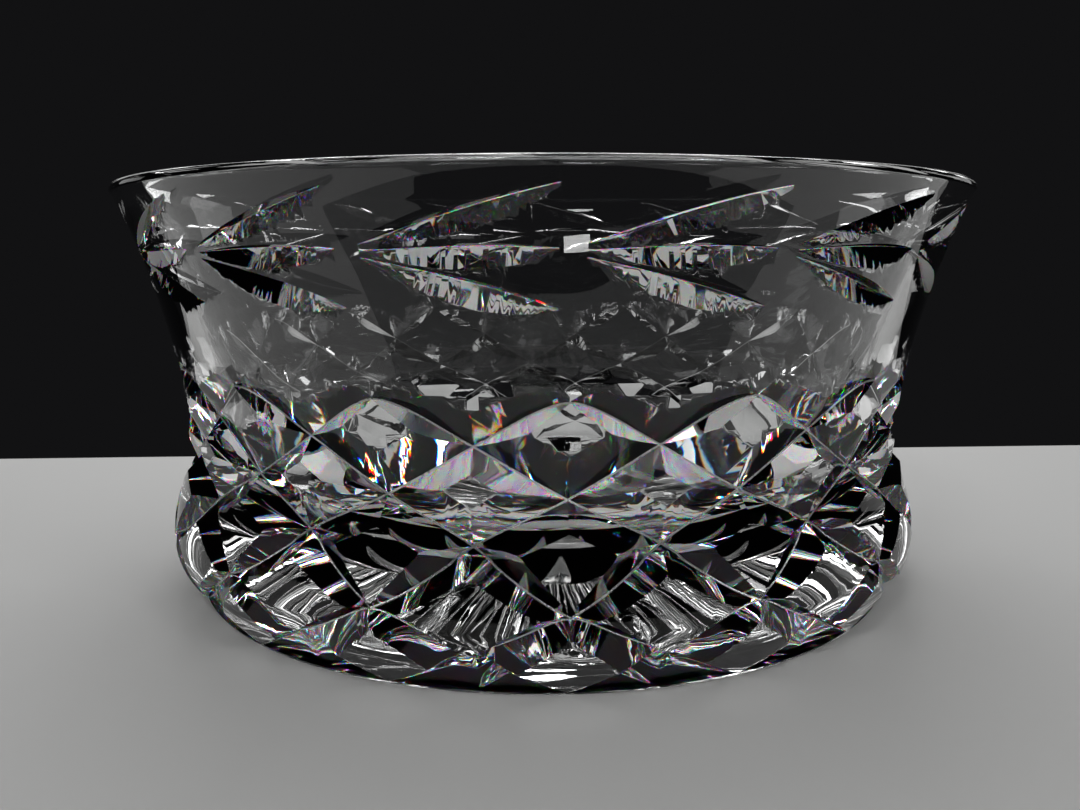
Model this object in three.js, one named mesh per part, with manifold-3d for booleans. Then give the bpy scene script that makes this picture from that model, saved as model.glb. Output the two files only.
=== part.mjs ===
import * as THREE from 'three';
import { mergeVertices, toCreasedNormals } from 'three/addons/utils/BufferGeometryUtils.js';
import Module from 'manifold-3d';

// A cut crystal bowl: one solid piece of glass, with every ornament cut into it.
// Millimetres and degrees, +Z up, -Y to the front, origin under the middle of the foot.

// Outside of the blank. The shoulder is the widest place below the rim, and an inset is how much
// smaller the radius is at another height than at the shoulder.
const RIM_RADIUS = 110;
const BOWL_HEIGHT = 102.5;
const SHOULDER_RADIUS = 100.4;
const SHOULDER_HEIGHT = 15;
const WAIST_INSET = 4.9;
const WAIST_HEIGHT = 47;
const COVE_INSET = 2.6; // at the faint line where the waist meets the shoulder
const COVE_HEIGHT = 28.3;
const TURN_INSET = 3.7; // where the shoulder turns under towards the foot
const TURN_HEIGHT = 5.5;
const FOOT_INSET = 7.2;
const FLARE_CURVE = 1.5; // 1 is a straight cone from the waist to the rim, 2 a full curve

// Inside of the blank
const RIM_WALL = 4.2;
const WAIST_WALL = 8;
const RIM_BEVEL_WIDTH = 1.6;
const RIM_BEVEL_HEIGHT = 2.6;
const BASE_THICKNESS = 13;
const WELL_CORNER_WIDTH = 30; // the round corner between the inner wall and the floor
const WELL_CORNER_HEIGHT = 26;

// The pattern goes round the bowl in equal repeats, and the first one starts at the front
const REPEATS = 16;

// A cut is deepest near its middle. A fullness under 1 keeps it deep nearer to that end, and late makes
// its end that share deeper than its start. Its V leans up from the wall's normal by the tilt.

// Diamonds: V cuts that lean both ways and cross at each of these heights
const DIAMOND_HALF_ANGLE = 54; // between the middle of the V and each side
const SHOULDER_CROSSING = 18.6; // where the long cuts of the wall end and the short ones of the foot start
const WALL_CROSSINGS = [58.9, 49.3, 39.6, 31, SHOULDER_CROSSING];
const FOOT_BAND_HEIGHT = 0.6; // a thin round band under the cuts of the foot
const FOOT_CROSSINGS = [SHOULDER_CROSSING, 7.8, FOOT_BAND_HEIGHT];
const WALL_CUT = {
  depth: 4.4, startFullness: 0.55, endFullness: 0.55, late: 0.25, startTilt: 14, endTilt: -3, steps: 8,
};
const FOOT_CUT = {
  depth: 3.4, startFullness: 0.55, endFullness: 1, late: 0, startTilt: -22, endTilt: -22, steps: 6,
};

// Leaves: sprigs of three, each leaf a long lens cut from its own stem nearly to the next one
const LEAF_HALF_ANGLE = 46;
const LEAF_START = 0.06; // share of the repeat
const LEAF_END = 0.94;
const LEAVES = [
  { stemBelowRim: 14.7, tipBelowRim: 4.7, depth: 1.7 },
  { stemBelowRim: 15.9, tipBelowRim: 15.5, depth: 1.9 },
  { stemBelowRim: 17.1, tipBelowRim: 26.1, depth: 2.1 },
];
const LEAF_CUT = {
  startFullness: 1, endFullness: 1, late: 0.5, startTilt: -16, endTilt: -16, steps: 3,
};

// Star under the base: rays cut from its middle out to the flat ring that the bowl stands on
const STAR_RAYS = 32;
const STAR_MIDDLE_RADIUS = 3;
const STAND_RING_WIDTH = 7;
const RAY_HALF_ANGLE = 62;
const RAY_CUT = { depth: 1.6, startFullness: 1, endFullness: 1, late: 0, steps: 2 };

// Fineness of the solid
const SEGMENTS = REPEATS * 3; // flats round the bowl
const CURVE_STEPS = 2; // flats up each of the outside's lower curves
const FLARE_STEPS = 4; // flats up the flare and up the inner wall
const CORNER_STEPS = 4;
const SHALLOWEST = 0.15; // depth at which a cut starts and ends
const CUTTER_CLEARANCE = 4; // how far a cutter stands out of the glass
const SLOPE_REACH = 0.6; // the wall's slope is measured this far above and below a height
const ALONG_REACH = 0.01; // the way along a cut is measured over this share of it, both ways
const SAME_POINT = 1e-5;
const CREASE_ANGLE = 18; // a sharper edge than this is shaded as an edge

const rad = THREE.MathUtils.degToRad;
const mix = THREE.MathUtils.lerp;
const repeatAngle = 2 * Math.PI / REPEATS;
const waistRadius = SHOULDER_RADIUS - WAIST_INSET;
const coveRadius = SHOULDER_RADIUS - COVE_INSET;
const turnRadius = SHOULDER_RADIUS - TURN_INSET;
const footRadius = SHOULDER_RADIUS - FOOT_INSET;

// Radius of the uncut outside at a height
function wallRadius(height) {
  const share = (from, to) => (height - from) / (to - from);
  if (height < TURN_HEIGHT) return mix(footRadius, turnRadius, share(0, TURN_HEIGHT));
  if (height < SHOULDER_HEIGHT) {
    return mix(SHOULDER_RADIUS, turnRadius, share(SHOULDER_HEIGHT, TURN_HEIGHT) ** 2);
  }
  if (height < COVE_HEIGHT) {
    return mix(SHOULDER_RADIUS, coveRadius, share(SHOULDER_HEIGHT, COVE_HEIGHT) ** 2);
  }
  if (height < WAIST_HEIGHT) {
    return mix(waistRadius, coveRadius, share(WAIST_HEIGHT, COVE_HEIGHT) ** 2);
  }
  return mix(waistRadius, RIM_RADIUS, share(WAIST_HEIGHT, BOWL_HEIGHT) ** FLARE_CURVE);
}

// Angle of the outside's normal above the horizontal, in radians
function wallTilt(height) {
  const inwards = wallRadius(height - SLOPE_REACH) - wallRadius(height + SLOPE_REACH);
  return Math.atan(inwards / (2 * SLOPE_REACH));
}

// Radius of the smooth inside at a height above the round corner of the well
function insideRadius(height) {
  const up = (height - WAIST_HEIGHT) / (BOWL_HEIGHT - WAIST_HEIGHT);
  const wall = mix(WAIST_WALL, RIM_WALL, Math.max(0, up));
  return Math.max(wallRadius(height), waistRadius) - wall;
}

// Point at an azimuth (0 is the front, positive to the right), a radius and a height
function polar(azimuth, radius, height) {
  return new THREE.Vector3(radius * Math.sin(azimuth), -radius * Math.cos(azimuth), height);
}

// Evenly spaced values from first to last
function spread(first, last, steps) {
  return Array.from({ length: steps + 1 }, (_, i) => mix(first, last, i / steps));
}

// Half outline of the blank, from the middle of the underside round to the middle of the floor
function blankOutline() {
  const outside = [
    0,
    ...spread(TURN_HEIGHT, SHOULDER_HEIGHT, CURVE_STEPS),
    ...spread(SHOULDER_HEIGHT, COVE_HEIGHT, CURVE_STEPS).slice(1),
    ...spread(COVE_HEIGHT, WAIST_HEIGHT, CURVE_STEPS).slice(1),
    ...spread(WAIST_HEIGHT, BOWL_HEIGHT, FLARE_STEPS).slice(1),
  ].map((height) => new THREE.Vector2(wallRadius(height), height));
  const bevelFoot = BOWL_HEIGHT - RIM_BEVEL_HEIGHT;
  const wellTop = BASE_THICKNESS + WELL_CORNER_HEIGHT;
  const inside = spread(bevelFoot, wellTop, FLARE_STEPS)
    .map((height) => new THREE.Vector2(insideRadius(height), height));
  const floorRadius = insideRadius(wellTop) - WELL_CORNER_WIDTH;
  const corner = spread(0, Math.PI / 2, CORNER_STEPS).slice(1).map((turn) => new THREE.Vector2(
    floorRadius + WELL_CORNER_WIDTH * Math.cos(turn),
    wellTop - WELL_CORNER_HEIGHT * Math.sin(turn),
  ));
  return [
    new THREE.Vector2(0, 0),
    ...outside,
    new THREE.Vector2(insideRadius(bevelFoot) + RIM_BEVEL_WIDTH, BOWL_HEIGHT),
    ...inside,
    ...corner,
    new THREE.Vector2(0, BASE_THICKNESS),
  ];
}

// Height at a share of the way down a cut, which reaches its crossings at even shares
function cutHeight(crossings, share) {
  const rows = crossings.map((height) => new THREE.Vector2(height, 0));
  return new THREE.SplineCurve(rows).getPoint(share).x;
}

// Depth of a cut at a share of its length
function cutDepth(cut, share) {
  const fullness = mix(cut.startFullness, cut.endFullness, share);
  const bulge = (4 * share * (1 - share)) ** fullness; // 1 in the middle and 0 at both ends
  const late = mix(1 - cut.late / 2, 1 + cut.late / 2, share);
  return SHALLOWEST + (cut.depth - SHALLOWEST) * bulge * late;
}

// A V bar bent along a line. At a share of the line, cutAt gives the bottom of the cut,
// the way along it, the way out of the glass and the depth.
function bentCutter(halfAngle, steps, cutAt) {
  const side = Math.tan(rad(halfAngle));
  const section = new THREE.Shape([
    new THREE.Vector2(0, 0),
    new THREE.Vector2(side, 1),
    new THREE.Vector2(-side, 1),
  ]);
  const bar = new THREE.ExtrudeGeometry(section, { depth: 1, steps, bevelEnabled: false });
  const points = bar.attributes.position;
  for (let i = 0; i < points.count; i++) {
    const { bottom, along, outward, depth } = cutAt(points.getZ(i));
    const middle = outward.clone().addScaledVector(along, -outward.dot(along)).normalize();
    const across = new THREE.Vector3().crossVectors(middle, along);
    const tall = depth + CUTTER_CLEARANCE;
    const point = bottom.clone()
      .addScaledVector(across, points.getX(i) * tall)
      .addScaledVector(middle, points.getY(i) * tall);
    points.setXYZ(i, point.x, point.y, point.z);
  }
  return bar;
}

// Cutter for a line on the outside, given its azimuth and height at a share of its length
function wallCutter(halfAngle, cut, azimuthAt, heightAt) {
  const bottomAt = (share) => {
    const height = heightAt(share);
    const tilt = wallTilt(height);
    const depth = cutDepth(cut, share);
    return polar(
      azimuthAt(share),
      wallRadius(height) - depth * Math.cos(tilt),
      height - depth * Math.sin(tilt),
    );
  };
  return bentCutter(halfAngle, cut.steps, (share) => {
    const ahead = bottomAt(Math.min(1, share + ALONG_REACH));
    const behind = bottomAt(Math.max(0, share - ALONG_REACH));
    const lean = wallTilt(heightAt(share)) + rad(mix(cut.startTilt, cut.endTilt, share));
    return {
      bottom: bottomAt(share),
      along: ahead.sub(behind).normalize(),
      outward: polar(azimuthAt(share), Math.cos(lean), Math.sin(lean)),
      depth: cutDepth(cut, share),
    };
  });
}

// One V cut of the diamonds: it turns by half a repeat from each crossing to the next
function diamondCutter(cut, crossings, start, side) {
  const turn = side * (crossings.length - 1) * repeatAngle / 2;
  return wallCutter(
    DIAMOND_HALF_ANGLE,
    cut,
    (share) => start + turn * share,
    (share) => cutHeight(crossings, share),
  );
}

function leafCutter(leaf, start) {
  return wallCutter(
    LEAF_HALF_ANGLE,
    { ...LEAF_CUT, depth: leaf.depth },
    (share) => start + repeatAngle * mix(LEAF_START, LEAF_END, share),
    (share) => BOWL_HEIGHT - mix(leaf.stemBelowRim, leaf.tipBelowRim, share),
  );
}

// One ray of the star, on the flat underside
function rayCutter(azimuth) {
  const rayEnd = footRadius - STAND_RING_WIDTH;
  return bentCutter(RAY_HALF_ANGLE, RAY_CUT.steps, (share) => ({
    bottom: polar(azimuth, mix(STAR_MIDDLE_RADIUS, rayEnd, share), cutDepth(RAY_CUT, share)),
    along: polar(azimuth, 1, 0),
    outward: new THREE.Vector3(0, 0, -1),
    depth: cutDepth(RAY_CUT, share),
  }));
}

const wasm = await Module();
wasm.setup();

// A closed three.js geometry as a solid that can be joined and cut
function solid(geometry) {
  const bare = geometry.clone();
  bare.deleteAttribute('normal');
  bare.deleteAttribute('uv');
  const merged = mergeVertices(bare, SAME_POINT);
  return new wasm.Manifold(new wasm.Mesh({
    numProp: 3,
    vertProperties: new Float32Array(merged.attributes.position.array),
    triVerts: new Uint32Array(merged.index.array),
  }));
}

function geometryOf(manifold) {
  const mesh = manifold.getMesh();
  const geometry = new THREE.BufferGeometry();
  geometry.setAttribute('position', new THREE.BufferAttribute(mesh.vertProperties, mesh.numProp));
  geometry.setIndex(new THREE.BufferAttribute(mesh.triVerts, 1));
  return toCreasedNormals(geometry, rad(CREASE_ANGLE));
}

function blank() {
  const turned = new THREE.LatheGeometry(blankOutline(), SEGMENTS);
  turned.rotateX(Math.PI / 2);
  return solid(turned);
}

// A cutter of the foot's diamonds, which leaves the band at the bottom whole
function footCutter(start, side) {
  const cutter = solid(diamondCutter(FOOT_CUT, FOOT_CROSSINGS, start, side));
  return cutter.trimByPlane([0, 0, 1], FOOT_BAND_HEIGHT);
}

// Every cutter of the ornament
function ornament() {
  const cutters = [];
  for (let i = 0; i < REPEATS; i++) {
    const start = i * repeatAngle;
    // The cuts of the wall turn by whole repeats, so the foot's can start at the same azimuths
    for (const side of [-1, 1]) {
      cutters.push(solid(diamondCutter(WALL_CUT, WALL_CROSSINGS, start, side)));
      cutters.push(footCutter(start, side));
    }
    cutters.push(...LEAVES.map((leaf) => solid(leafCutter(leaf, start))));
  }
  for (let i = 0; i < STAR_RAYS; i++) {
    cutters.push(solid(rayCutter(i * 2 * Math.PI / STAR_RAYS)));
  }
  return cutters.reduce((all, cutter) => all.add(cutter));
}

// Clear lead crystal, polished all over
const crystal = new THREE.MeshStandardMaterial({
  name: 'clear lead crystal',
  color: 0xe9eef0,
  roughness: 0.03,
  metalness: 0,
  transparent: true,
  opacity: 0.45,
});

const bowl = new THREE.Mesh(geometryOf(blank().subtract(ornament())), crystal);
bowl.name = 'bowl';

const crystalBowl = new THREE.Group();
crystalBowl.add(bowl);

export default crystalBowl;
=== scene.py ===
from math import atan, cos, pi, radians, sin, tan

import bmesh
import bpy
from mathutils import Matrix, Vector


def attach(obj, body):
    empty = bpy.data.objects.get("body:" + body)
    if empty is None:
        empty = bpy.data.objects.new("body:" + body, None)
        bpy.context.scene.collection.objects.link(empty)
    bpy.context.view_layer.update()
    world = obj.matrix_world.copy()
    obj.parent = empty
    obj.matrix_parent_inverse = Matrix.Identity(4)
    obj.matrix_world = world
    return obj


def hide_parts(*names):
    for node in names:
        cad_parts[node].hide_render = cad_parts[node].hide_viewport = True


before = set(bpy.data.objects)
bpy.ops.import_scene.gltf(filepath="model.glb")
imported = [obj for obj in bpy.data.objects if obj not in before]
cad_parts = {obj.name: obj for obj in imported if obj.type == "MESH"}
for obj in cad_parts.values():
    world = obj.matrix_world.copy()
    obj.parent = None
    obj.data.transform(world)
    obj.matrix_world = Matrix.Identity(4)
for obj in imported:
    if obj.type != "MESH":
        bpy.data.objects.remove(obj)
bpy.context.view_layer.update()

# A cut crystal bowl. The lengths below are in millimetres and the angles in degrees, as on a
# drawing, and MM turns millimetres into metres. An azimuth of 0 is the front, and it grows to the
# right.
MM = 0.001

# Outside of the blank, from the rim down to the foot
RIM_RADIUS = 110
BOWL_HEIGHT = 102.5
WAIST_RADIUS, WAIST_HEIGHT = 95.5, 47
COVE_RADIUS, COVE_HEIGHT = 97.8, 28.3
SHOULDER_RADIUS, SHOULDER_HEIGHT = 100.4, 15
TURN_RADIUS, TURN_HEIGHT = 96.7, 5.5
FOOT_RADIUS = 93.2
FLARE_CURVE = 1.5  # the power by which the wall flares out above the waist
LIP_ROUNDING = 1.4
LIP_LEAN = 32  # from the vertical, where the wall runs into the round lip
LIP_FLARE_HEIGHT = 6  # of the last of the wall, which leans out to meet the lip

# Inside of the blank
RIM_WALL, WAIST_WALL = 4.2, 8
RIM_BEVEL_WIDTH, RIM_BEVEL_HEIGHT = 1.6, 2.6
BASE_THICKNESS = 13
WELL_CORNER_WIDTH, WELL_CORNER_HEIGHT = 30, 26

# Ornament. A V cut starts and ends shallow. The greater a taper is, the slower the cut gets to its
# depth. Late is how much deeper it gets from its start to its end, as a share of the depth, and a
# tilt is how far the wheel leans up from square to the wall.
REPEATS = 16
SHOULDER_CROSSING = 18.6
FOOT_BAND_HEIGHT = 0.6
WALL_CROSSINGS = (58.9, 49.3, 39.6, 31, SHOULDER_CROSSING)
FOOT_CROSSINGS = (SHOULDER_CROSSING, 7.8, FOOT_BAND_HEIGHT)
WALL_CUT = {"depth": 4.4, "start_taper": 0.55, "end_taper": 0.55, "late": 0.25,
            "start_tilt": 14, "end_tilt": -3, "steps": 48}
FOOT_CUT = {"depth": 3.4, "start_taper": 0.55, "end_taper": 1, "late": 0,
            "start_tilt": -22, "end_tilt": -22, "steps": 24}
LEAF_CUT = {"start_taper": 1, "end_taper": 1, "late": 0.5,
            "start_tilt": -16, "end_tilt": -16, "steps": 32}
LEAVES = (  # stem and tip below the rim, and depth
    (14.7, 4.7, 1.7),
    (15.9, 15.5, 1.9),
    (17.1, 26.1, 2.1),
)
LEAF_START, LEAF_END = 0.06, 0.94  # shares of a repeat
RAY_CUT = {"depth": 1.6, "start_taper": 1, "end_taper": 1, "late": 0, "steps": 16}
STAR_RAYS = 32
STAR_MIDDLE_RADIUS = 3
STAND_RING_WIDTH = 7
CUT_ENDS_DEPTH = 0.15

# Wheels: half the angle of the V and the rounding of its edge
DIAMOND_WHEEL = (54, 0.35)
LEAF_WHEEL = (46, 0.08)
RAY_WHEEL = (62, 0.35)

# Finish
CRYSTAL_IOR = 1.55
CRYSTAL_FIRE = 0.005  # how much less red and more blue are bent than green
CRYSTAL_TINT = (0.985, 0.99, 0.99, 1)
BLOWN_WAVES, CUT_WAVES = (22, 0.05), (5, 0.012)  # length and height
WAVE_DETAIL = 1
LINE_CLARITY = 0.85  # share of the light that the frosted line lets through
LINE_ROUGHNESS = (0.15, 0.45)
LINE_GRAIN, LINE_DETAIL = 1.2, 2
WEAR_ROUGHNESS = 0.5
WEAR_STARTS, WEAR_IS_FULL = 0.25, 0.05  # heights above the table
WEAR_GRAIN, WEAR_DETAIL = 0.8, 4

# Studio, in metres
TABLE_WIDTH, TABLE_BACK, TABLE_FRONT = 1.2, 0.14, 0.17
PALE_PAINT = (0.5, 0.5, 0.495, 1)
PAINT_ROUGHNESS = 0.7
DARK_BACKDROP = (0.006, 0.006, 0.0065, 1)
SOFT_LIGHT = (0.45, 0.45, 0.45, 1)
SOFT_BOXES = {  # where it stands, its width and height, and how bright it looks
    "back_box": ((0, 0.8, 0.75), (0.9, 0.3), 5),
    "low_back_box": ((0, 0.83, 0.39), (0.2, 0.12), 4),
    "left_back_box": ((-0.42, 0.72, 0.39), (0.3, 0.26), 0.8),
    "right_back_box": ((0.42, 0.72, 0.39), (0.3, 0.26), 0.8),
    "top_box": ((0, 0.25, 0.85), (0.7, 0.4), 1),
    "left_low_box": ((-0.77, 0.45, 0.18), (0.25, 0.2), 0.6),
    "right_low_box": ((0.77, 0.45, 0.18), (0.25, 0.2), 0.6),
    "front_box": ((-0.21, -0.6, 0.7), (0.14, 0.07), 25),
    "front_right_box": ((0.47, -0.6, 0.62), (0.14, 0.05), 25),
}
LIGHT_BOUNCES = 24

# Camera
SENSOR_WIDTH, FOCAL_LENGTH = 36, 31.67
CAMERA_AZIMUTH, CAMERA_DISTANCE, CAMERA_HEIGHT = -2.98, 269.56, 86
CAMERA_PITCH, CAMERA_YAW, CAMERA_ROLL = 9.018, 0.163, -0.145  # down, left, counter-clockwise
NEAREST_SEEN, FARTHEST_SEEN = 5, 20000

# Fineness
SEGMENTS = 288  # round the blank
TURN_STEPS, COVE_STEPS, WAIST_STEPS, FLARE_STEPS = 8, 8, 10, 18  # up the outside
LIP_FLARE_STEPS, LIP_STEPS = 6, 8
INSIDE_STEPS, WELL_CORNER_STEPS = 16, 16
WHEEL_STEPS = 7  # across the round edge of a wheel
CUTTER_CLEARANCE, RAY_CLEARANCE = 4, 0.5  # how far the cutters stand out of the glass
SLOPE_REACH = 0.6  # up and down, where the slope of the wall is taken
ALONG_REACH = 0.01  # share of a cut, to and fro, where its direction is taken
RAYS_AT_ONCE = 4
EDGE_ANGLE = 32  # past which an edge is crisp
POLE_GAP, SLIVER = 0.001, 0.002  # shorter gaps and edges than these are closed

REPEAT_ANGLE = 2 * pi / REPEATS
WHEEL_FACE = 1  # height of a wheel's outline that stands for the full width of the wheel
CUT_SLOT, LINE_SLOT = 1, 2


def mix(first, last, share):
    return first + (last - first) * share


def share_of(value, first, last):
    return (value - first) / (last - first)


def spread(first, last, steps):
    return [mix(first, last, i / steps) for i in range(steps + 1)]


def polar(azimuth, radius, height):
    return Vector((radius * sin(azimuth), -radius * cos(azimuth), height))


def wall_radius(height):
    """Radius of the uncut outside at a height."""
    if height < TURN_HEIGHT:
        return mix(FOOT_RADIUS, TURN_RADIUS, height / TURN_HEIGHT)
    if height < SHOULDER_HEIGHT:
        way = share_of(height, SHOULDER_HEIGHT, TURN_HEIGHT)
        return mix(SHOULDER_RADIUS, TURN_RADIUS, way ** 2)
    if height < COVE_HEIGHT:
        way = share_of(height, SHOULDER_HEIGHT, COVE_HEIGHT)
        return mix(SHOULDER_RADIUS, COVE_RADIUS, way ** 2)
    if height < WAIST_HEIGHT:
        way = share_of(height, WAIST_HEIGHT, COVE_HEIGHT)
        return mix(WAIST_RADIUS, COVE_RADIUS, way ** 2)
    way = share_of(height, WAIST_HEIGHT, BOWL_HEIGHT)
    return mix(WAIST_RADIUS, RIM_RADIUS, way ** FLARE_CURVE)


def wall_tilt(height):
    """Angle by which the outside faces up."""
    above, below = wall_radius(height + SLOPE_REACH), wall_radius(height - SLOPE_REACH)
    return atan((below - above) / (2 * SLOPE_REACH))


def inside_radius(height):
    wall = mix(WAIST_WALL, RIM_WALL, max(0, share_of(height, WAIST_HEIGHT, BOWL_HEIGHT)))
    return max(wall_radius(height), WAIST_RADIUS) - wall


def lip_outline():
    """The round lip, from where the wall runs into it up to the flat top of the rim."""
    return [(RIM_RADIUS - LIP_ROUNDING * (1 - cos(turn)),
             BOWL_HEIGHT - LIP_ROUNDING * (1 - sin(turn)))
            for turn in spread(-radians(LIP_LEAN), pi / 2, LIP_STEPS)]


def outside_outline(lip_radius, lip_height):
    """The outside from the foot up to the lip."""
    flare_foot = lip_height - LIP_FLARE_HEIGHT
    heights = ([0] + spread(TURN_HEIGHT, SHOULDER_HEIGHT, TURN_STEPS)
               + spread(SHOULDER_HEIGHT, COVE_HEIGHT, COVE_STEPS)[1:]
               + spread(COVE_HEIGHT, WAIST_HEIGHT, WAIST_STEPS)[1:]
               + spread(WAIST_HEIGHT, flare_foot, FLARE_STEPS)[1:]
               + spread(flare_foot, lip_height, LIP_FLARE_STEPS)[1:-1])
    flare = lip_radius - wall_radius(lip_height)
    flared = [max(0, share_of(height, flare_foot, lip_height)) ** 2 for height in heights]
    return [(wall_radius(height) + flare * share, height) for height, share in zip(heights, flared)]


def inside_outline():
    """The inside from the flat top of the rim down to the middle of the floor."""
    bevel_foot = BOWL_HEIGHT - RIM_BEVEL_HEIGHT
    well_top = BASE_THICKNESS + WELL_CORNER_HEIGHT
    floor_radius = inside_radius(well_top) - WELL_CORNER_WIDTH
    bevel_top = (inside_radius(bevel_foot) + RIM_BEVEL_WIDTH, BOWL_HEIGHT)
    wall = [(inside_radius(height), height)
            for height in spread(bevel_foot, well_top, INSIDE_STEPS)]
    corner = [(floor_radius + WELL_CORNER_WIDTH * cos(turn),
               well_top - WELL_CORNER_HEIGHT * sin(turn))
              for turn in spread(0, pi / 2, WELL_CORNER_STEPS)[1:]]
    return [bevel_top] + wall + corner + [(0, BASE_THICKNESS)]


def mesh_object(name, shape):
    """An object from a bmesh, which is used up."""
    mesh = bpy.data.meshes.new(name)
    shape.to_mesh(mesh)
    shape.free()
    made = bpy.data.objects.new(name, mesh)
    bpy.context.collection.objects.link(made)
    return made


def turned_blank():
    """The bowl before it is cut, turned from half its outline."""
    lip = lip_outline()
    outline = [(0, 0)] + outside_outline(*lip[0]) + lip + inside_outline()
    shape = bmesh.new()
    corners = [shape.verts.new(Vector((radius, 0, height)) * MM) for radius, height in outline]
    edges = [shape.edges.new(pair) for pair in zip(corners, corners[1:])]
    bmesh.ops.spin(shape, geom=corners + edges, axis=(0, 0, 1), angle=2 * pi, steps=SEGMENTS,
                   use_merge=True)
    bmesh.ops.remove_doubles(shape, verts=shape.verts, dist=POLE_GAP * MM)
    bmesh.ops.recalc_face_normals(shape, faces=shape.faces)
    return mesh_object("bowl_of_crystal", shape)


def cut_height(crossings, share):
    """Height at a share of the way down a cut. It is a smooth curve that reaches the crossings at
    even shares."""
    place = share * (len(crossings) - 1)
    row = min(int(place), len(crossings) - 2)
    before = crossings[max(row - 1, 0)]
    start, end = crossings[row], crossings[row + 1]
    after = crossings[min(row + 2, len(crossings) - 1)]
    t = place - row
    lead, tail = (end - before) / 2, (after - start) / 2
    return ((2 * start - 2 * end + lead + tail) * t ** 3
            + (-3 * start + 3 * end - 2 * lead - tail) * t ** 2 + lead * t + start)


def cut_depth(cut, share):
    bulge = max(0, 4 * share * (1 - share)) ** mix(cut["start_taper"], cut["end_taper"], share)
    lateness = mix(1 - cut["late"] / 2, 1 + cut["late"] / 2, share)
    return CUT_ENDS_DEPTH + (cut["depth"] - CUT_ENDS_DEPTH) * bulge * lateness


def wheel_outline(half_angle, rounding):
    """Outline of a V wheel's edge, which is a little round."""
    side = radians(half_angle)
    middle = rounding / sin(side)
    edge = [(rounding * sin(turn), middle - rounding * cos(turn))
            for turn in spread(side - pi / 2, pi / 2 - side, WHEEL_STEPS)]
    return [(-tan(side), WHEEL_FACE)] + edge + [(tan(side), WHEEL_FACE)]


def straight_bar(wheel, steps):
    """A bar of a wheel's outline, 1 long. Its round edge grinds the faces of the line."""
    bar = bmesh.new()
    end = bar.faces.new([bar.verts.new((x, y, 0)) for x, y in wheel_outline(*wheel)])
    pulled = bmesh.ops.extrude_face_region(bar, geom=[end], use_keep_orig=True)["geom"]
    far = [corner for corner in pulled if isinstance(corner, bmesh.types.BMVert)]
    bmesh.ops.translate(bar, vec=(0, 0, 1), verts=far)
    lengthwise = [edge for edge in bar.edges if edge.verts[0].co.z != edge.verts[1].co.z]
    bmesh.ops.subdivide_edges(bar, edges=lengthwise, cuts=steps - 1, use_grid_fill=True)
    bmesh.ops.recalc_face_normals(bar, faces=bar.faces)
    for face in bar.faces:
        on_edge = all(corner.co.y < WHEEL_FACE for corner in face.verts)
        face.material_index = LINE_SLOT if on_edge else CUT_SLOT
    return bar


def bent_cutter(wheel, clearance, steps, cut_at):
    """A V bar bent along a line, which stands out of the glass by the clearance. At a share of the
    line, cut_at gives the bottom of the cut, the way along it, the way out of the glass and the
    depth."""
    bar = straight_bar(wheel, steps)
    for corner in bar.verts:
        bottom, along, outward, depth = cut_at(corner.co.z)
        middle = (outward - along * outward.dot(along)).normalized()
        across = middle.cross(along)
        reach = depth + clearance if corner.co.y == WHEEL_FACE else 1
        corner.co = (bottom + (across * corner.co.x + middle * corner.co.y) * reach) * MM
    return bar


def wall_cutter(wheel, cut, azimuth_at, height_at):
    """A cutter that follows the outside, by the azimuth and height at each share of its way."""
    def bottom_at(share):
        height = height_at(share)
        tilt = wall_tilt(height)
        depth = cut_depth(cut, share)
        radius = wall_radius(height) - depth * cos(tilt)
        return polar(azimuth_at(share), radius, height - depth * sin(tilt))

    def cut_at(share):
        ahead = bottom_at(min(1, share + ALONG_REACH))
        behind = bottom_at(max(0, share - ALONG_REACH))
        lean = wall_tilt(height_at(share)) + radians(mix(cut["start_tilt"], cut["end_tilt"], share))
        outward = polar(azimuth_at(share), cos(lean), sin(lean))
        return bottom_at(share), (ahead - behind).normalized(), outward, cut_depth(cut, share)

    return bent_cutter(wheel, CUTTER_CLEARANCE, cut["steps"], cut_at)


def diamond_cutter(cut, crossings, start, side):
    """A cutter that leans to one side by half a repeat from each crossing to the next."""
    turn = side * (len(crossings) - 1) * REPEAT_ANGLE / 2
    return wall_cutter(DIAMOND_WHEEL, cut, lambda share: start + turn * share,
                       lambda share: cut_height(crossings, share))


def foot_cutter(start, side):
    """A cutter of the foot's diamonds, which leaves the band at the bottom whole."""
    cutter = diamond_cutter(FOOT_CUT, FOOT_CROSSINGS, start, side)
    whole = cutter.verts[:] + cutter.edges[:] + cutter.faces[:]
    trimmed = bmesh.ops.bisect_plane(cutter, geom=whole, plane_co=(0, 0, FOOT_BAND_HEIGHT * MM),
                                     plane_no=(0, 0, 1), clear_inner=True)["geom_cut"]
    opening = [edge for edge in trimmed if isinstance(edge, bmesh.types.BMEdge)]
    bmesh.ops.edgeloop_fill(cutter, edges=opening, mat_nr=CUT_SLOT)
    bmesh.ops.recalc_face_normals(cutter, faces=cutter.faces)
    return cutter


def leaf_cutter(leaf, start):
    """A cutter of one leaf, which is polished right down to its bottom."""
    stem, tip, depth = leaf
    cutter = wall_cutter(LEAF_WHEEL, {**LEAF_CUT, "depth": depth},
                         lambda share: start + REPEAT_ANGLE * mix(LEAF_START, LEAF_END, share),
                         lambda share: BOWL_HEIGHT - mix(stem, tip, share))
    for face in cutter.faces:
        face.material_index = CUT_SLOT
    return cutter


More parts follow.
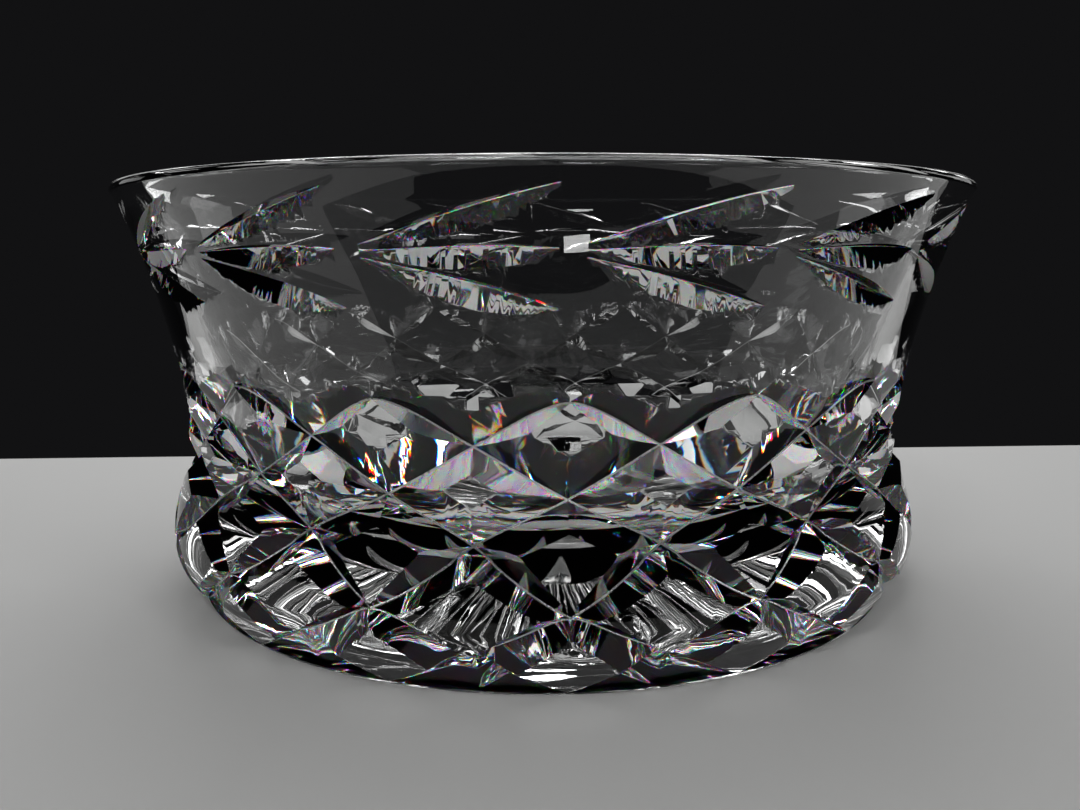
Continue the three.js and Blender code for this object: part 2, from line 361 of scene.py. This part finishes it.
def ray_cutter(azimuth):
    """A cutter of one ray of the star under the base."""
    def cut_at(share):
        radius = mix(STAR_MIDDLE_RADIUS, FOOT_RADIUS - STAND_RING_WIDTH, share)
        depth = cut_depth(RAY_CUT, share)
        return polar(azimuth, radius, depth), polar(azimuth, 1, 0), Vector((0, 0, -1)), depth

    return bent_cutter(RAY_WHEEL, RAY_CLEARANCE, RAY_CUT["steps"], cut_at)


def cut_with(blank, name, cutters):
    """Grinds a set of cutters, which don't touch one another, out of the blank."""
    joined = bmesh.new()
    for cutter in cutters:
        part = bpy.data.meshes.new(name)
        cutter.to_mesh(part)
        cutter.free()
        joined.from_mesh(part)
        bpy.data.meshes.remove(part)
    wheel = mesh_object(name, joined)
    for finish in blank.data.materials:
        wheel.data.materials.append(finish)
    grind = blank.modifiers.new(name, "BOOLEAN")
    grind.operation = "DIFFERENCE"
    grind.solver = "MANIFOLD"
    grind.object = wheel
    bpy.context.view_layer.update()
    ground = blank.evaluated_get(bpy.context.evaluated_depsgraph_get())
    cut = bpy.data.meshes.new_from_object(ground)
    blank.modifiers.remove(grind)
    uncut, worn = blank.data, wheel.data
    blank.data = cut
    bpy.data.meshes.remove(uncut)
    bpy.data.objects.remove(wheel)
    bpy.data.meshes.remove(worn)


def cut_bowl():
    """Grinds the whole ornament out of the blank, in passes whose cutters stay apart."""
    bowl = turned_blank()
    for finish in (blown_crystal(), cut_crystal(), cut_line()):
        bowl.data.materials.append(finish)
    starts = [i * REPEAT_ANGLE for i in range(REPEATS)]
    for half in (starts[0::2], starts[1::2]):
        for side in (-1, 1):
            wall_cutters = [diamond_cutter(WALL_CUT, WALL_CROSSINGS, start, side) for start in half]
            cut_with(bowl, "wall_wheel", wall_cutters)
            cut_with(bowl, "foot_wheel", [foot_cutter(start, side) for start in half])
    for leaf in LEAVES:
        cut_with(bowl, "leaf_wheel", [leaf_cutter(leaf, start) for start in starts])
    rays = [i * 2 * pi / STAR_RAYS for i in range(STAR_RAYS)]
    passes = STAR_RAYS // RAYS_AT_ONCE
    for first in range(passes):
        cut_with(bowl, "star_wheel", [ray_cutter(azimuth) for azimuth in rays[first::passes]])
    return bowl


def polish(bowl):
    """Smooth glass, with a crisp edge wherever two cuts or a cut and the blank meet."""
    shape = bmesh.new()
    shape.from_mesh(bowl.data)
    bmesh.ops.dissolve_degenerate(shape, edges=shape.edges, dist=SLIVER * MM)
    bmesh.ops.delete(shape, geom=[edge for edge in shape.edges if edge.is_wire], context="EDGES")
    for face in shape.faces:
        face.smooth = True
    for edge in shape.edges:
        edge.smooth = edge.is_manifold and edge.calc_face_angle(0) < radians(EDGE_ANGLE)
    shape.to_mesh(bowl.data)
    shape.free()
    even = bowl.modifiers.new("even_facets", "WEIGHTED_NORMAL")
    even.keep_sharp = True


def new_finish(name):
    finish = bpy.data.materials.new(name)
    finish.use_nodes = True
    finish.node_tree.nodes.clear()
    return finish, finish.node_tree.nodes, finish.node_tree.links


def lay_on(nodes, links, surface):
    """Makes a shader the surface of its finish."""
    out = nodes.new("ShaderNodeOutputMaterial")
    links.new(surface, out.inputs["Surface"])


def grain(nodes, links, size, detail):
    """Noise of a grain size, fixed to the glass."""
    place = nodes.new("ShaderNodeTexCoord")
    noise = nodes.new("ShaderNodeTexNoise")
    noise.inputs["Scale"].default_value = 1 / (size * MM)
    noise.inputs["Detail"].default_value = detail
    links.new(place.outputs["Object"], noise.inputs["Vector"])
    return noise.outputs["Fac"]


def waves(nodes, links, length, height):
    """Normals of a polished surface that isn't quite even."""
    bump = nodes.new("ShaderNodeBump")
    bump.inputs["Distance"].default_value = height * MM
    links.new(grain(nodes, links, length, WAVE_DETAIL), bump.inputs["Height"])
    return bump.outputs["Normal"]


def worn_foot(nodes, links):
    """Roughness, which is nothing but on the flats of the underside, where the bowl rests."""
    place = nodes.new("ShaderNodeTexCoord")
    split = nodes.new("ShaderNodeSeparateXYZ")
    low = nodes.new("ShaderNodeMapRange")
    low.inputs["From Min"].default_value = WEAR_STARTS * MM
    low.inputs["From Max"].default_value = WEAR_IS_FULL * MM
    low.inputs["To Max"].default_value = WEAR_ROUGHNESS
    worn = nodes.new("ShaderNodeMath")
    worn.operation = "MULTIPLY"
    links.new(place.outputs["Object"], split.inputs[0])
    links.new(split.outputs["Z"], low.inputs["Value"])
    links.new(low.outputs["Result"], worn.inputs[0])
    links.new(grain(nodes, links, WEAR_GRAIN, WEAR_DETAIL), worn.inputs[1])
    return worn.outputs[0]


def frosted_line(nodes, links):
    """Roughness of the line that the edge of a wheel leaves."""
    frost = nodes.new("ShaderNodeMapRange")
    frost.inputs["To Min"].default_value, frost.inputs["To Max"].default_value = LINE_ROUGHNESS
    links.new(grain(nodes, links, LINE_GRAIN, LINE_DETAIL), frost.inputs["Value"])
    return frost.outputs["Result"]


def body_of_crystal(nodes, links, clarity, roughness, normal):
    glass = nodes.new("ShaderNodeBsdfPrincipled")
    glass.inputs["Base Color"].default_value = CRYSTAL_TINT
    glass.inputs["Transmission Weight"].default_value = clarity
    glass.inputs["IOR"].default_value = CRYSTAL_IOR
    links.new(roughness, glass.inputs["Roughness"])
    links.new(normal, glass.inputs["Normal"])
    return glass.outputs[0]


def one_colour_bent(nodes, links, colour, bend, roughness, normal):
    """Crystal that passes one colour of the light, and bends it by more or less than green."""
    glass = nodes.new("ShaderNodeBsdfGlass")
    glass.inputs["Color"].default_value = colour
    glass.inputs["IOR"].default_value = CRYSTAL_IOR + bend
    links.new(roughness, glass.inputs["Roughness"])
    links.new(normal, glass.inputs["Normal"])
    return glass.outputs[0]


def added(nodes, links, first, second):
    both = nodes.new("ShaderNodeAddShader")
    links.new(first, both.inputs[0])
    links.new(second, both.inputs[1])
    return both.outputs[0]


def on_the_near_side(nodes, links, near, beyond):
    """One shader where a surface is met first, and another where it is seen through the glass."""
    path = nodes.new("ShaderNodeLightPath")
    either = nodes.new("ShaderNodeMixShader")
    links.new(path.outputs["Is Camera Ray"], either.inputs[0])
    links.new(beyond, either.inputs[1])
    links.new(near, either.inputs[2])
    return either.outputs[0]


def blown_crystal():
    """The parts that the wheels leave alone: the upper wall, the rim, the inside, the foot's ring
    and the flats between the rays."""
    finish, nodes, links = new_finish("blown_crystal")
    roughness, normal = worn_foot(nodes, links), waves(nodes, links, *BLOWN_WAVES)
    lay_on(nodes, links, body_of_crystal(nodes, links, 1, roughness, normal))
    return finish


def cut_crystal():
    """The facets, which split the light into its colours where they are seen first."""
    finish, nodes, links = new_finish("cut_crystal")
    roughness, normal = worn_foot(nodes, links), waves(nodes, links, *CUT_WAVES)
    red = one_colour_bent(nodes, links, (1, 0, 0, 1), -CRYSTAL_FIRE, roughness, normal)
    green = one_colour_bent(nodes, links, (0, 1, 0, 1), 0, roughness, normal)
    blue = one_colour_bent(nodes, links, (0, 0, 1, 1), CRYSTAL_FIRE, roughness, normal)
    fire = added(nodes, links, added(nodes, links, red, green), blue)
    body = body_of_crystal(nodes, links, 1, roughness, normal)
    lay_on(nodes, links, on_the_near_side(nodes, links, fire, body))
    return finish


def cut_line():
    """The bottoms of the cuts, where the edge of the wheel leaves a thin line that takes less
    polish. It shows on the near side and is lost in what the glass bends."""
    finish, nodes, links = new_finish("cut_line")
    normal = waves(nodes, links, *CUT_WAVES)
    frosted = body_of_crystal(nodes, links, LINE_CLARITY, frosted_line(nodes, links), normal)
    clear = body_of_crystal(nodes, links, 1, worn_foot(nodes, links), normal)
    lay_on(nodes, links, on_the_near_side(nodes, links, frosted, clear))
    return finish


def pale_paint():
    finish, nodes, links = new_finish("pale_paint")
    paint = nodes.new("ShaderNodeBsdfPrincipled")
    paint.inputs["Base Color"].default_value = PALE_PAINT
    paint.inputs["Roughness"].default_value = PAINT_ROUGHNESS
    lay_on(nodes, links, paint.outputs[0])
    return finish


def table_top():
    """A plain pale table, whose front edge lies just below the picture."""
    shape = bmesh.new()
    bmesh.ops.create_grid(shape, x_segments=1, y_segments=1, size=0.5)  # a metre square
    bmesh.ops.scale(shape, vec=(TABLE_WIDTH, TABLE_BACK + TABLE_FRONT, 1), verts=shape.verts)
    bmesh.ops.translate(shape, vec=(0, (TABLE_BACK - TABLE_FRONT) / 2, 0), verts=shape.verts)
    top = mesh_object("table_top", shape)
    top.data.materials.append(pale_paint())


def soft_box(name, place, size, brightness):
    """A rectangle of light that faces the bowl and isn't seen itself but in the glass."""
    lamp = bpy.data.lights.new(name, "AREA")
    lamp.shape = "RECTANGLE"
    lamp.size, lamp.size_y = size
    lamp.energy = brightness * pi * size[0] * size[1]  # watts that give it that brightness
    box = bpy.data.objects.new(name, lamp)
    bpy.context.collection.objects.link(box)
    to_bowl = Vector((0, 0, BOWL_HEIGHT * MM / 2)) - Vector(place)
    box.location = place
    box.rotation_euler = to_bowl.to_track_quat("-Z", "Y").to_euler()
    box.visible_camera = False


def dark_studio():
    """A dark backdrop, which the glass shows too, and soft light from all round on the rest."""
    world = bpy.data.worlds.new("studio")
    bpy.context.scene.world = world
    world.use_nodes = True
    nodes, links = world.node_tree.nodes, world.node_tree.links
    nodes.clear()
    out = nodes.new("ShaderNodeOutputWorld")
    path = nodes.new("ShaderNodeLightPath")
    shown = path.outputs["Is Camera Ray"]
    for other in ("Is Glossy Ray", "Is Transmission Ray"):
        most = nodes.new("ShaderNodeMath")
        most.operation = "MAXIMUM"
        links.new(shown, most.inputs[0])
        links.new(path.outputs[other], most.inputs[1])
        shown = most.outputs[0]
    either = nodes.new("ShaderNodeMixShader")
    links.new(shown, either.inputs[0])
    for slot, colour in ((1, SOFT_LIGHT), (2, DARK_BACKDROP)):
        light = nodes.new("ShaderNodeBackground")
        light.inputs["Color"].default_value = colour
        links.new(light.outputs[0], either.inputs[slot])
    links.new(either.outputs[0], out.inputs[0])


def photograph_camera():
    lens = bpy.data.cameras.new("photograph")
    lens.sensor_width = SENSOR_WIDTH
    lens.lens = FOCAL_LENGTH
    lens.clip_start, lens.clip_end = NEAREST_SEEN * MM, FARTHEST_SEEN * MM
    camera = bpy.data.objects.new("photograph", lens)
    bpy.context.collection.objects.link(camera)
    azimuth = radians(CAMERA_AZIMUTH)
    camera.matrix_world = (Matrix.Translation(polar(azimuth, CAMERA_DISTANCE, CAMERA_HEIGHT) * MM)
                           @ Matrix.Rotation(azimuth + radians(CAMERA_YAW), 4, "Z")
                           @ Matrix.Rotation(pi / 2 - radians(CAMERA_PITCH), 4, "X")
                           @ Matrix.Rotation(radians(CAMERA_ROLL), 4, "Z"))
    bpy.context.scene.camera = camera


def main():
    bowl = cut_bowl()
    polish(bowl)
    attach(bowl, "root")
    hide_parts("bowl")
    table_top()
    dark_studio()
    for name, (place, size, brightness) in SOFT_BOXES.items():
        soft_box(name, place, size, brightness)
    photograph_camera()
    scene = bpy.context.scene
    scene.view_settings.view_transform = "Standard"
    scene.cycles.max_bounces = LIGHT_BOUNCES
    scene.cycles.transmission_bounces = LIGHT_BOUNCES
    scene.cycles.transparent_max_bounces = LIGHT_BOUNCES


main()
